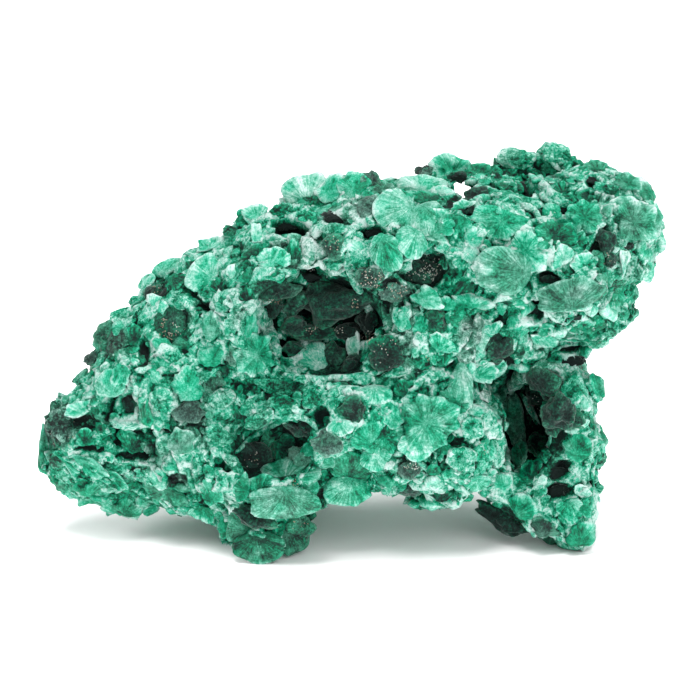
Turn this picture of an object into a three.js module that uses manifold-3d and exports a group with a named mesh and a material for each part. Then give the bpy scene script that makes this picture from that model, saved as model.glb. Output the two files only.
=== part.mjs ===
// Malachite specimen: one rough hand piece of fibrous, botryoidal malachite, about 100 mm
// across. It grew and broke as a single solid, so it is a single mesh. Rounded masses melt
// into one body, domes and knobs crowd its skin, pockets are hollowed out of it, an opening
// runs through its crest, and its feet are cut flat where it stands.
//
// Millimetres, +Z up, +X to the right of the show face, +Y away from the viewer. The origin
// is on the standing plane, under the middle of the bounding box.

import * as THREE from "three";
import { ImprovedNoise } from "three/addons/math/ImprovedNoise.js";
import { MarchingCubes } from "three/addons/objects/MarchingCubes.js";
import { mergeVertices } from "three/addons/utils/BufferGeometryUtils.js";
import Module from "manifold-3d";

const wasm = await Module();
wasm.setup();

// The show face is laid out on a plane that leans back from the vertical by this angle,
// through the toe of the front foot, which is this far forward of the middle.
const LEAN = THREE.MathUtils.degToRad(16);
const TOE_DEPTH = -16;

// The skin is worked out on a cubic lattice of this pitch, around this middle.
const PITCH = 2.45;
const LATTICE = 46;
const LATTICE_MIDDLE = new THREE.Vector3(0, 0, 29);
// No skin point lies nearer a lattice point than this share of the pitch.
const CLEARANCE = 0.1;

// How softly masses, knobs and pockets run into each other.
const MASS_BLEND = 3.5;
const KNOB_BLEND = 1;
const POCKET_BLEND = 1.2;
// Share of a knob's radius by which its middle lies under the skin.
const KNOB_SUNK = 0.3;
// A sight line is searched between these depths from the leaning plane, in steps.
const SIGHT = { from: -20, to: 60, step: 0.5 };

// Domes crowd the whole skin, one to each cell of this size, and noise wrinkles it.
const DOME_SPACING = 8.5;
const DOME_HEIGHT = 3.8;
// Share of the height that stands above the plain skin; the gaps between domes sink.
const DOME_PROUD = 0.5;
const WRINKLE_LENGTH = 7;
const WRINKLE_HEIGHT = 1.3;

const malachite = new THREE.MeshStandardMaterial({ color: 0x3f9f78, roughness: 0.7, metalness: 0 });

// Large masses of the body: centre, then half sizes along X, Y and Z.
const MASSES = [
  { name: "shoulder", at: [31.5, 1, 44.5], half: [13, 15, 12] },
  { name: "shoulder end", at: [40, 2, 49], half: [9, 11, 9] },
  { name: "crest", at: [20, 2, 49], half: [12, 13, 9] },
  { name: "top", at: [4, 1, 47.5], half: [12, 13, 9.5] },
  { name: "upper slope", at: [-9, 0, 41.5], half: [11, 13, 11.5] },
  { name: "slope", at: [-20.5, 0, 34], half: [11, 12, 11.5] },
  { name: "lower slope", at: [-29, 0, 26], half: [10, 12, 12] },
  { name: "tail", at: [-37, -1, 17], half: [9.5, 10, 9] },
  { name: "tail end", at: [-43.5, -1, 14.5], half: [5, 8, 7] },
  { name: "left belly", at: [-20, -3, 16.5], half: [14, 14, 8.5] },
  { name: "middle", at: [-2, -3, 22.5], half: [18, 15, 11] },
  { name: "waist", at: [12, -2, 34], half: [11, 12, 9] },
  { name: "under the shoulder", at: [24, 0, 36], half: [8, 12, 7] },
  { name: "right belly", at: [13.5, -7, 18.5], half: [11, 11, 11] },
  { name: "front foot", at: [-12.8, -10, 4.6], half: [7.2, 5.6, 6.2] },
  { name: "rosette", at: [-10, -13, 13.5], half: [6.5, 5, 4] },
  { name: "pillar", at: [34.5, -2, 17], half: [5.4, 8, 12] },
  { name: "pillar heel", at: [26.5, -3, 9.5], half: [6, 7, 4] },
  { name: "pillar base", at: [32, -6, 6.5], half: [6, 6, 4.5] },
  { name: "pillar toe", at: [35, -7, 2.6], half: [3.8, 3.8, 3.6] },
  { name: "pillar wall", at: [26, 8, 20], half: [9, 7, 13] },
  { name: "pillar head", at: [32, 6, 28], half: [6, 7, 7] },
  { name: "right back", at: [16, 11, 30], half: [17, 10, 13] },
  { name: "upper back", at: [10, 9, 41], half: [22, 9, 10] },
  { name: "left back", at: [-14, 12, 26], half: [20, 9, 13] },
  { name: "lower back", at: [-14, 12, 13], half: [10, 8, 11] },
  { name: "rear foot", at: [-13, 14, 4.5], half: [5.5, 5.5, 6] },
];

// Knobs on the show face: across and up on the leaning plane, then radius.
const KNOBS = [
  [-6.4, 58, 3.6],
  [0, 58.5, 3.2],
  [7, 59.5, 2.8],
  [12, 60.8, 2.5],
  [15.6, 62.4, 2.3],
  [19.6, 62, 2.1],
  [22.6, 60.8, 2.6],
  [27, 63, 3.5],
  [33, 64, 3.3],
  [39.5, 61.6, 2.5],
  [43.5, 57.5, 3],
  [46.8, 52.8, 3],
  [45, 46.5, 3],
  [42.3, 40.2, 3.4],
  [38.5, 36.6, 3.2],
  [-15.4, 55, 2.8],
  [-19, 50, 3.3],
  [-25.5, 47.6, 3.2],
  [-31, 42.6, 3.4],
  [-35.2, 38, 3.2],
  [-38.8, 32.6, 3.4],
  [-42, 27.2, 3.2],
  [-45.5, 21, 3],
  [-47, 15, 2.8],
  [-44.5, 12, 2.4],
  [-39.5, 10.8, 2.6],
  [-35, 8.6, 2.8],
  [-31, 10.2, 3],
  [-26.5, 9.8, 3],
  [-22, 9.2, 3],
  [-10.4, 12.5, 4.4],
  [-0.8, 12.5, 4],
  [8, 13.6, 3.4],
  [16, 10.8, 2.8],
  [22, 13, 3],
  [37.4, 18.5, 3.9],
  [37, 27, 3.8],
  [38.4, 13, 2.8],
  [36.6, 7.4, 2.8],
  [31, 7, 3],
  [-16, 38, 5],
  [7, 54.5, 3.8],
  [6, 50, 3.2],
  [25.6, 54.5, 4],
  [24, 46.5, 4],
  [36, 43, 4.4],
];

// Pockets hollowed into the show face: across and up, half width and half height, and how
// deep they go.
const POCKETS = [
  { name: "main pocket", at: [-5.5, 37.3], half: [9.5, 7.8], depth: 11 },
  { name: "lower pocket", at: [-12, 18.5], half: [5.6, 4.2], depth: 6 },
  { name: "pillar pocket", at: [28, 20.5], half: [4.6, 8], depth: 10 },
  { name: "left pocket", at: [-28, 37.5], half: [2.8, 3.4], depth: 3.5 },
  { name: "upper pocket", at: [11, 47], half: [3.4, 3.8], depth: 3 },
];

// Narrow openings cut right through: across and up, half width, half height, half length.
const OPENINGS = [
  { name: "crest opening", at: [18.2, 59.3], half: [1.7, 1.2, 30] },
  { name: "cleft over the pillar", at: [41, 32.8], half: [5, 0.8, 30] },
];
const OPENING_SIDES = 10;

const ACROSS = new THREE.Vector3(1, 0, 0);
const INTO = new THREE.Vector3(0, Math.cos(LEAN), -Math.sin(LEAN));
const UP = new THREE.Vector3(0, Math.sin(LEAN), Math.cos(LEAN));

// A point of the leaning plane, so far across, up and into the stone.
function onFace(across, up, into = 0) {
  const foot = new THREE.Vector3(across, TOE_DEPTH, 0);
  return foot.addScaledVector(UP, up).addScaledVector(INTO, into);
}

// Distance to an ellipsoid's skin, negative inside, near enough for blending.
function ellipsoid(offset, half) {
  const scaled = offset.clone().divide(half);
  const steep = scaled.clone().divide(half).length();
  const reach = scaled.length();
  return steep > 0 ? (reach * (reach - 1)) / steep : -Math.min(half.x, half.y, half.z);
}

// The nearer of two distances, rounded off where they are within soft of each other.
function blend(a, b, soft) {
  const share = Math.max(soft - Math.abs(a - b), 0) / soft;
  return Math.min(a, b) - (share * share * soft) / 4;
}

const vector = (values) => new THREE.Vector3(...values);
const masses = MASSES.map(({ at, half }) => ({ centre: vector(at), half: vector(half) }));

function body(point) {
  return masses.reduce(
    (near, { centre, half }) => blend(near, ellipsoid(point.clone().sub(centre), half), MASS_BLEND),
    Infinity,
  );
}

// Where the sight line through a point of the plane meets the body, or passes nearest to it.
function skinPoint(across, up) {
  let best = { distance: Infinity };
  for (let into = SIGHT.from; into < SIGHT.to; into += SIGHT.step) {
    const point = onFace(across, up, into);
    const distance = body(point);
    if (distance < best.distance) best = { distance, point };
    if (distance < 0) break;
  }
  return best.point;
}

const knobs = KNOBS.map(([across, up, radius]) => ({
  centre: skinPoint(across, up).addScaledVector(INTO, radius * KNOB_SUNK),
  radius,
}));

const pockets = POCKETS.map(({ at, half, depth }) => ({
  centre: skinPoint(...at),
  half: new THREE.Vector3(half[0], depth, half[1]),
}));

// A repeatable number from 0 to 1 for a lattice corner and a salt.
function chance(corner, salt) {
  const mixed = Math.sin(corner.x * 12.99 + corner.y * 78.23 + corner.z * 37.72 + salt) * 43758.55;
  return mixed - Math.floor(mixed);
}

// The 27 steps from a lattice cell to itself and its neighbours.
const NEIGHBOURS = [-1, 0, 1].flatMap((x) =>
  [-1, 0, 1].flatMap((y) => [-1, 0, 1].map((z) => new THREE.Vector3(x, y, z))),
);

// How far domes lift the skin: each cell of a lattice holds one dome's middle, and the
// nearest one counts.
function domes(point) {
  const home = point.clone().divideScalar(DOME_SPACING).floor();
  let nearest = Infinity;
  for (const neighbour of NEIGHBOURS) {
    const corner = neighbour.clone().add(home);
    const jitter = new THREE.Vector3(chance(corner, 1), chance(corner, 2), chance(corner, 3));
    nearest = Math.min(nearest, corner.add(jitter).multiplyScalar(DOME_SPACING).distanceTo(point));
  }
  return DOME_HEIGHT * (DOME_PROUD - (nearest / DOME_SPACING) ** 2);
}

const noise = new ImprovedNoise();

function wrinkles(point) {
  const { x, y, z } = point.clone().divideScalar(WRINKLE_LENGTH);
  return WRINKLE_HEIGHT * (noise.noise(x, y, z) + 0.5 * noise.noise(2 * x, 2 * y, 2 * z));
}

// Distance to the stone's skin, negative inside.
function stoneDistance(point) {
  let distance = body(point) - domes(point) - wrinkles(point);
  for (const { centre, radius } of knobs) {
    distance = blend(distance, centre.distanceTo(point) - radius, KNOB_BLEND);
  }
  for (const { centre, half } of pockets) {
    const offset = point.clone().sub(centre).applyAxisAngle(ACROSS, LEAN);
    distance = -blend(-distance, ellipsoid(offset, half), POCKET_BLEND);
  }
  return distance;
}

// Fills the lattice with distances and lets marching cubes find the skin.
function skin() {
  const cubes = new MarchingCubes(LATTICE, malachite, false, false, LATTICE ** 3 / 4);
  cubes.isolation = 0;
  const corner = new THREE.Vector3();
  for (let k = 0; k < LATTICE; k++) {
    for (let j = 0; j < LATTICE; j++) {
      for (let i = 0; i < LATTICE; i++) {
        corner.set(i, j, k).subScalar(LATTICE / 2).multiplyScalar(PITCH).add(LATTICE_MIDDLE);
        const distance = THREE.MathUtils.clamp(stoneDistance(corner), -PITCH, PITCH);
        const inside = -Math.sign(distance) * Math.max(Math.abs(distance), CLEARANCE * PITCH);
        cubes.setCell(i, j, k, inside);
      }
    }
  }
  cubes.update();
  const places = cubes.geometry.getAttribute("position").array.slice(0, cubes.count * 3);
  const shape = new THREE.BufferGeometry();
  shape.setAttribute("position", new THREE.BufferAttribute(places, 3));
  const reach = (LATTICE / 2) * PITCH;
  return shape.scale(reach, reach, reach).translate(...LATTICE_MIDDLE);
}

function solid(shape) {
  const bare = new THREE.BufferGeometry().setAttribute("position", shape.getAttribute("position"));
  if (shape.index) bare.setIndex(shape.index);
  const merged = mergeVertices(bare, 1e-3);
  return new wasm.Manifold(
    new wasm.Mesh({
      numProp: 3,
      vertProperties: merged.getAttribute("position").array,
      triVerts: new Uint32Array(merged.index.array),
    }),
  );
}

function openings() {
  return OPENINGS.map(({ at, half }) => {
    const shape = new THREE.CylinderGeometry(1, 1, 2, OPENING_SIDES);
    shape.scale(half[0], half[2], half[1]).rotateX(-LEAN);
    return shape.translate(...onFace(...at, half[2] / 2));
  });
}

// A block whose underside is the standing plane.
function aboveTheGround() {
  const side = LATTICE * PITCH;
  return new THREE.BoxGeometry(side, side, side).translate(0, 0, side / 2);
}

// The stone is the largest body that the skin bounds: the rest are hollows sealed inside it.
function wholeStone() {
  return solid(skin()).decompose().reduce((a, b) => (a.volume() > b.volume() ? a : b));
}

function build() {
  let stone = wholeStone().intersect(solid(aboveTheGround()));
  for (const shape of openings()) stone = stone.subtract(solid(shape));
  const mesh = stone.getMesh();
  const shape = new THREE.BufferGeometry();
  shape.setAttribute("position", new THREE.BufferAttribute(mesh.vertProperties, 3));
  shape.setIndex(new THREE.BufferAttribute(mesh.triVerts, 1));
  shape.computeBoundingBox();
  const middle = shape.boundingBox.getCenter(new THREE.Vector3());
  return shape.translate(-middle.x, -middle.y, 0);
}

const stone = new THREE.Mesh(build(), malachite);
stone.name = "malachite_stone";

const specimen = new THREE.Group();
specimen.add(stone);

export default specimen;
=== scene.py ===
"""Malachite specimen: the looks of one rough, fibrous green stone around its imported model.

Lengths in the tables are millimetres; meshes are made in millimetres and stored in metres.
"""

import math

import bmesh
import bpy
import numpy as np
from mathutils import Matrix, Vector
from mathutils.bvhtree import BVHTree


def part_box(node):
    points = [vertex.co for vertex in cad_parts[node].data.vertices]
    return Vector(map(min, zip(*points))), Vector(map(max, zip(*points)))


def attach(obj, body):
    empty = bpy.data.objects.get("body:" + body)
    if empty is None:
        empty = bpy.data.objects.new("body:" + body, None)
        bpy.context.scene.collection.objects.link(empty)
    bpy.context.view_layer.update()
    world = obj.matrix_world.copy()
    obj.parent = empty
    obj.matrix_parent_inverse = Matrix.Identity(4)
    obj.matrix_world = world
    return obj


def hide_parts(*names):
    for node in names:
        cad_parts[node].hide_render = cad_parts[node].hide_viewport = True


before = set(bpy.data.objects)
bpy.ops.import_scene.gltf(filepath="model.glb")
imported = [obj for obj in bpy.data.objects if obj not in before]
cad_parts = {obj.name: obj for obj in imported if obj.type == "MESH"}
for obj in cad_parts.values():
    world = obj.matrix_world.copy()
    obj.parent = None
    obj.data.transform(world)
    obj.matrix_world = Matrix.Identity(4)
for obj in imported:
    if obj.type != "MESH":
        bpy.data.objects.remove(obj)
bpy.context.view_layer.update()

MM = 0.001
STONE = "malachite_stone"

# ----------
# Camera, light and floor. The stone stands on a white sweep under a wide soft light, seen
# from a little above. Sight lines from this camera also place what the show face carries.

ELEVATION = math.radians(16)
DISTANCE = 420
FOCUS_DROP = 1.3
LENS, SENSOR = 135, 36
WORLD_STRENGTH = 0.6
FLOOR_SIZE = 4.0
PAPER_COLOUR, PAPER_ROUGHNESS = (0.95, 0.915, 0.93, 1), 0.9

low, high = (np.array(corner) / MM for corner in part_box(STONE))
focus = (low + high) / 2 - (0, 0, FOCUS_DROP)
towards = np.array((0, -math.cos(ELEVATION), math.sin(ELEVATION)))
upwards = np.array((0, math.sin(ELEVATION), math.cos(ELEVATION)))
sideways = np.array((1.0, 0, 0))
eye = focus + towards * DISTANCE

camera = bpy.data.objects.new("camera", bpy.data.cameras.new("camera"))
bpy.context.scene.collection.objects.link(camera)
camera.data.lens, camera.data.sensor_width = LENS, SENSOR
camera.data.clip_start, camera.data.clip_end = 0.01, 20
camera.location = Vector(eye * MM)
camera.rotation_euler = (math.pi / 2 - ELEVATION, 0, 0)
bpy.context.scene.camera = camera

# Name, the direction it comes from, its strength and how wide it looks, in degrees. The two
# named paper light only the floor, to keep it white around the stone's soft shadow.
LIGHTS = (
    ("overhead", (0.12, 0.1, 1.0), 2.5, 34),
    ("front", (0.55, -1.0, 0.8), 1.3, 50),
    ("paper_top", (-0.15, -0.35, 1.0), 2.1, 20),
    ("paper_side", (-1.0, -0.1, 0.6), 2.0, 20),
)
lit_paper = bpy.data.collections.new("lit_paper")
for name, source, strength, breadth in LIGHTS:
    lamp = bpy.data.objects.new(name, bpy.data.lights.new(name, "SUN"))
    bpy.context.scene.collection.objects.link(lamp)
    lamp.data.energy, lamp.data.angle = strength, math.radians(breadth)
    lamp.rotation_euler = Vector(source).to_track_quat("Z", "Y").to_euler()
    if name.startswith("paper"):
        lamp.light_linking.receiver_collection = lit_paper

world = bpy.data.worlds.new("white_room")
bpy.context.scene.world = world
world.use_nodes = True
room = world.node_tree.nodes["Background"].inputs
room["Color"].default_value, room["Strength"].default_value = (1, 1, 1, 1), WORLD_STRENGTH
bpy.context.scene.view_settings.view_transform = "Standard"

bpy.ops.mesh.primitive_plane_add(size=FLOOR_SIZE)
floor = bpy.context.object
floor.name = "floor"
paper = bpy.data.materials.new("white_paper")
paper.use_nodes = True
sheet = paper.node_tree.nodes["Principled BSDF"].inputs
sheet["Base Color"].default_value, sheet["Roughness"].default_value = PAPER_COLOUR, PAPER_ROUGHNESS
floor.data.materials.append(paper)
lit_paper.objects.link(floor)


# ----------
# The finish: malachite's silky fibres, from nearly black green velvet to pale mint where it
# is broken or rubbed, with a dusty grey bloom in places. Each vertex says how pale, dusty
# and velvety it is, and where its fibres spring from. How pale it is also carries painted
# shade in hollows and on the backs of lobes, and painted highlight along rims.

class Value:
    """One socket of a material. Arithmetic on values adds the Math nodes that do it."""

    def __init__(self, finish, socket):
        self.finish, self.socket = finish, socket

    def maths(self, operation, *terms, clamp=False):
        settings = {"operation": operation, "use_clamp": clamp}
        return self.finish.node("Math", settings, dict(enumerate(terms)))

    def __add__(self, other):
        return self.maths("ADD", self, other)

    def __sub__(self, other):
        return self.maths("SUBTRACT", self, other)

    def __rsub__(self, other):
        return self.maths("SUBTRACT", other, self)

    def __mul__(self, other):
        return self.maths("MULTIPLY", self, other)

    __radd__, __rmul__ = __add__, __mul__

    def clamped(self):
        return self.maths("ADD", self, 0, clamp=True)


class Finish:
    """A material being made, with the Principled shader that it ends in."""

    def __init__(self, name):
        self.material = bpy.data.materials.new(name)
        self.material.use_nodes = True
        self.tree = self.material.node_tree
        self.shader = self.tree.nodes["Principled BSDF"]

    def node(self, kind, settings=None, inputs=None, output=0):
        """Adds a node, sets it up, feeds its inputs and returns one output as a Value."""
        made = self.tree.nodes.new("ShaderNode" + kind)
        for key, value in (settings or {}).items():
            if key == "stops":
                while len(made.color_ramp.elements) < len(value):
                    made.color_ramp.elements.new(0.5)
                for stop, (place, colour) in zip(made.color_ramp.elements, value):
                    stop.position, stop.color = place, (*colour, 1)
            else:
                setattr(made, key, value)
        self.feed(made, inputs or {})
        return Value(self, made.outputs[output])

    def feed(self, made, inputs):
        """Links the values among a node's inputs, and sets the plain numbers."""
        for key, value in inputs.items():
            if isinstance(value, Value):
                self.tree.links.new(value.socket, made.inputs[key])
            else:
                made.inputs[key].default_value = value

    def attribute(self, name, output="Fac"):
        return self.node("Attribute", {"attribute_name": name}, output=output)

    def noise(self, size, detail, place, dimensions="3D", **inputs):
        """Noise from about 0 to 1 whose largest lumps are size millimetres across."""
        inputs = {"Scale": 1 / (size * MM), "Detail": detail, "Vector": place, **inputs}
        return self.node("TexNoise", {"noise_dimensions": dimensions}, inputs)


# How pale, from 0 to 1, and its colour: the clean stone's greens, and the dusty greys.
GREENS = (
    (0, (0.002, 0.009, 0.007)),
    (0.16, (0.003, 0.042, 0.028)),
    (0.32, (0, 0.15, 0.07)),
    (0.48, (0, 0.31, 0.155)),
    (0.62, (0.04, 0.45, 0.285)),
    (0.78, (0.24, 0.6, 0.47)),
    (0.92, (0.425, 0.715, 0.625)),
    (1, (0.6, 0.815, 0.745)),
)
GREYS = (
    (0, (0.008, 0.012, 0.012)),
    (0.25, (0.024, 0.06, 0.048)),
    (0.5, (0.09, 0.22, 0.17)),
    (0.75, (0.29, 0.48, 0.41)),
    (1, (0.7, 0.82, 0.79)),
)

# How many fibres go round, the sizes of grains, clouds and crystal ends, and the relief.
FIBRES, GRAIN, CLOUD, CRYSTAL, RELIEF = 14.0, 0.42, 2.6, 0.75, 0.3


def malachite(name, streaks, fuzz, facets, clouds, bumps, roughness, sheen=0.0):
    """Colour from how pale each place is, stirred by streaks along the fibres, by fuzz as
    fine as sand, by crystal ends each of one shade and by clouds a few millimetres wide.
    The streaks, fuzz and crystal ends are raised too."""
    finish = Finish(name)
    pale, dusty = finish.attribute("pale"), finish.attribute("dusty")
    place = finish.node("TexCoord", output="Object")
    ray, luck = finish.attribute("ray", "Vector"), finish.attribute("luck")
    along = finish.node("VectorMath", {"operation": "NORMALIZE"}, {0: ray})
    fibres = finish.noise(1 / (FIBRES * MM), 5.0, along, "4D", W=luck * 40, Roughness=0.8)
    grain = finish.noise(GRAIN, 3.0, place, Roughness=0.85)
    cloud = finish.noise(CLOUD, 3.0, place)
    ends = {"Vector": place, "Scale": 1 / (CRYSTAL * MM), "Randomness": 1.0}
    shade = finish.node("SeparateColor", {}, {0: finish.node("TexVoronoi", {}, ends, output=1)})
    peak = finish.node("TexVoronoi", {}, ends)
    tone = pale + (fibres - 0.5) * streaks + (grain - 0.5) * fuzz
    tone = tone + (shade - 0.5) * facets + (cloud - 0.5) * clouds
    green, grey = (finish.node("ValToRGB", {"stops": stops}, {"Fac": tone.clamped()})
                   for stops in (GREENS, GREYS))
    bloom = (dusty + (cloud - 0.52) * 1.5).clamped()
    colour = finish.node("Mix", {"data_type": "RGBA"}, {0: bloom, 6: green, 7: grey}, output=2)
    height = fibres * min(streaks, 1) + grain * 0.6 - peak * (facets * 3)
    bump = finish.node("Bump", inputs={"Strength": bumps, "Distance": RELIEF * MM, "Height": height})
    finish.feed(finish.shader, {
        "Base Color": colour, "Normal": bump, "Roughness": roughness + 0.2 - grain * 0.4,
        "Specular IOR Level": 0.16, "Sheen Weight": sheen, "Sheen Roughness": 0.4,
        "Sheen Tint": (0.75, 1.0, 0.88, 1),
    })
    return finish.material


silky = malachite("silky_malachite", streaks=1.25, fuzz=0.9, facets=0.1, clouds=0.65, bumps=0.6,
                  roughness=0.45)
smooth = malachite("smooth_malachite", streaks=1.1, fuzz=0.8, facets=0.08, clouds=0.65, bumps=0.5,
                   roughness=0.45)
crusty = malachite("crusty_malachite", streaks=1.2, fuzz=1.5, facets=0.34, clouds=0.6, bumps=0.8,
                   roughness=0.5)
velvety = malachite("velvet_malachite", streaks=0.2, fuzz=1.2, facets=0.1, clouds=0.25, bumps=0.9,
                    roughness=0.7, sheen=0.3)

# ----------
# The stone's body: the imported solid, its facets smoothed away, under a crust broken into
# domes, cups and tilted flakes at three sizes. Crystals have left dark velvet in hollows. Its
# colour is paler on ridges, as wear, and darker in hollows and creases, as painted shade.

VOXEL, SMOOTHING = 0.56, 14
# Each crust's cell size, height and salt, how far the crust sinks back, and up to what height
# it flattens towards the feet. Then the size of the tufts that its fibres make.
CRUSTS = ((7.5, 1.1, 11), (3.8, 0.6, 12), (1.8, 0.15, 13))
SETTLE, FLAT_HEIGHT = 0.7, 1.2
TUFT = 3.2

# Patches of the show face: place across and up the view from the focus, half width, half
# height, how pale, how dusty, how velvety, and how deep the patch is sunk.
# Patches sunk deepest, with pale at about 0, in the pits and holes, are painted near black: painted
# shade.
PATCHES = (
    (-2.5, 7, 7, 4, 0.04, 0.2, 1, 0.5), (-12, 9.5, 4.5, 2, 0.2, 0.4, 1, 0),
    (-6, 11.3, 2, 1.4, 0, 0, 1, 4), (-1, 12, 1, 0.5, 0, 0, 1, 3), (-12, 4.5, 1.5, 2.5, 0.05, 0, 1, 2),
    (-9.5, 1, 2, 1.5, 0, 0, 1, 3), (1, 4, 3, 2, 0.05, 0.1, 1, 2),
    (-1.5, -1.5, 3.5, 3, 0.12, 0.4, 1, 0.5), (6, -0.5, 3, 3, 0.1, 0.3, 1, 0),
    (-10.2, 20, 2.3, 1.3, 0, 0, 0.8, 3.5), (-2.3, 21.4, 2.2, 1.1, 0, 0, 0.8, 3.5),
    (3.5, 19.3, 2, 1.3, 0, 0, 1, 3), (11, 13, 4.6, 2.8, 0.2, 0.5, 1, 0.9),
    (7.5, 9.5, 2.5, 1.5, 0.15, 0.9, 0.7, 0.5), (14, 4.7, 2, 2, 0.22, 0.3, 1, 0.5),
    (-28.5, 4, 2.4, 2.6, 0.15, 0.4, 1, 0.3), (-31.3, 9.5, 1.6, 1.5, 0.12, 0.3, 1, 0.5),
    (-38.7, 2, 3, 2.7, 0.25, 0.6, 0.8, 0), (-33, 0, 0.9, 2, 0.08, 0.2, 0.6, 1),
    (41, 17.5, 1.7, 2.8, 0.1, 0.4, 0.8, 2), (41.5, 14.5, 1, 1.5, 0.12, 0.4, 0.6, 1),
    (44.8, 16.5, 0.9, 0.6, 0, 0.2, 0.8, 1.5), (47.2, 13.5, 0.9, 0.8, 0.05, 0.6, 0.8, 1.5),
    (38.8, 27.2, 1.3, 0.9, 0.05, 0.5, 0.8, 1.5), (34.5, 22.9, 1.7, 0.8, 0.05, 0.2, 0.6, 1.5),
    (29.8, 22.5, 1.3, 0.8, 0.1, 0.4, 0.6, 1), (31.5, 10.9, 2, 1, 0.04, 0.2, 0.9, 2.5),
    (29.5, 5.8, 1.3, 1.2, 0.02, 0.1, 0.9, 2.5), (34, 4.7, 1.3, 1, 0.02, 0.1, 0.9, 2.5),
    (36.8, 5.1, 1.4, 0.6, 0.04, 0.1, 0.9, 2), (40.5, 5, 2, 1.2, 0.2, 0.3, 0.8, 2),
    (35.7, 0.3, 2.6, 0.6, 0.08, 0.2, 0.7, 1.5), (24.3, 0, 2, 3, 0.13, 0.3, 1, 0.5),
    (26, -4, 1, 2, 0.05, 0.3, 0.8, 1), (20, -5, 1, 3, 0.2, 1, 0.6, 2),
    (29.2, -12.4, 6.4, 8.2, 0.16, 0.25, 1, 0.5), (33.5, -19.5, 2.2, 1.6, 0.03, 0.2, 0.9, 2.5),
    (34, -22.8, 2.4, 1.2, 0.02, 0.1, 0.9, 2.5), (-13, -16, 6, 5, 0.1, 0.2, 1, 0),
    (0.5, -9.5, 2.3, 2, 0.16, 0.4, 1, 0.5), (-4.8, -10.8, 1.3, 2, 0.02, 0, 1, 1.5),
    (28, 26.3, 0.9, 1.5, 0, 0, 0.8, 3), (17, 24.2, 3, 1.3, 0.05, 0.3, 0.8, 0.5),
    (19.8, 22.7, 1.5, 1, 0.03, 0.2, 0.8, 1.5), (-18.8, 16.3, 2.3, 2, 0.33, 0.2, 0.7, 0.8),
    (-23.5, 7.2, 1.6, 0.8, 0.08, 0.2, 0.6, 1.5), (-35.7, -8, 1.6, 2.4, 0.05, 0.3, 0.8, 2),
    (-42, -11.3, 5, 1.2, 0.3, 0.4, 0, 0.3), (-35.5, -14.5, 3.5, 2, 0.26, 0, 0.3, 1),
    (-35, -17, 3, 0.8, 0.04, 0, 0.5, 1.5), (-41.5, -16, 3, 0.6, 0.08, 0.3, 0.3, 1),
    (-47, -12, 3, 4, 0.26, 0.9, 0.2, 0), (-27.7, -21.5, 2, 1.5, 0.3, 0.8, 0.3, 0.5),
    (24, -27, 4, 2, 0.1, 0.2, 0.9, 0), (-12.5, -5.6, 5.5, 1.8, 0.26, 0.1, 0.1, 0.5),
    (-10.7, -6.8, 1.2, 0.6, 0, 0, 0.5, 2), (9.5, -19, 2.4, 2, 0.2, 0.9, 0.8, 0.5),
    (4.4, -21, 1.4, 2.4, 0.1, 0.2, 0.8, 2.5), (-5, 26, 7, 2.3, 0.8, 0, 0, 0),
    (-6.3, 15.5, 2, 3, 0.85, 0.7, 0, 0), (-24, 15, 5, 3.5, 0.74, 0, 0, 0),
    (-22, 12, 4, 2, 0.72, 0, 0, 0), (24.5, 13, 4.5, 5.5, 0.7, 0, 0, 0),
    (33.5, 15, 2.8, 1.8, 0.8, 0, 0, 0), (22.5, -13, 2.5, 6, 0.66, 0, 0, 0),
    (-38, -5, 4, 3, 0.7, 0.1, 0, 0), (-36, -12, 3, 1.2, 0.85, 0.1, 0, 0),
    (19.5, 1.5, 2.5, 3.5, 0.62, 0.9, 0, 0), (46, 19, 5, 10, 0.62, 0.25, 0, 0),
    (-40, -21, 8, 4, 0.5, 0.1, 0, 0), (-17, -12, 5, 3, 0.62, 0.1, 0, 0),
    (15, -18, 6, 3, 0.46, 0.1, 0, 0), (2, -22, 6, 4, 0.38, 0, 0, 0), (-5.6, -24, 2, 3, 0.3, 0.2, 0, 0),
)


def chances(corners, salt):
    """Numbers from 0 to 1 for whole lattice corners: their coordinates times large primes,
    mixed with the salt by exclusive or, then scrambled."""
    n = corners.astype(np.int64)
    mixed = n[..., 0] * 73856093 ^ n[..., 1] * 19349663 ^ n[..., 2] * 83492791 ^ salt * 2654435761
    mixed = (mixed ^ mixed >> 13) * 1274126177 & 0xFFFFFFFF
    mixed = (mixed ^ mixed >> 16) * 2246822519 & 0xFFFFFFFF
    return (mixed >> 8 & 0xFFFFFF) / 0x1000000


def noise(points, size, salt):
    """Smooth noise from -1 to 1: random numbers at lattice corners, eased between them."""
    scaled = points / size
    base = np.floor(scaled)
    part = scaled - base
    ease = part * part * (3 - 2 * part)
    total = 0
    for corner in np.ndindex(2, 2, 2):
        step = np.array(corner)
        share = np.prod(np.where(step, ease, 1 - ease), axis=-1)
        total = total + share * chances(base + step, salt)
    return total * 2 - 1


def cells(points, size, salt):
    """The scattered middle nearest to each point: one middle lies in each cell of a lattice.
    Returns the offset from it, its distance, the next one's distance and four chances."""
    scaled = points / size
    base = np.floor(scaled)
    nearest = np.full(len(points), np.inf)
    second = nearest.copy()
    offset = np.zeros_like(points)
    home = np.zeros_like(points)
    for corner in np.ndindex(3, 3, 3):
        cell = base + (np.array(corner) - 1)
        middle = cell + np.stack([chances(cell, salt + k) for k in (1, 2, 3)], axis=-1)
        away = scaled - middle
        distance = np.linalg.norm(away, axis=1)
        closer = distance < nearest
        second = np.where(closer, nearest, np.minimum(second, distance))
        nearest = np.where(closer, distance, nearest)
        offset[closer], home[closer] = away[closer], cell[closer]
    luck = np.stack([chances(home, salt + k) for k in (4, 5, 6, 7)], axis=-1)
    return offset * size, nearest, second, luck


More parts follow.
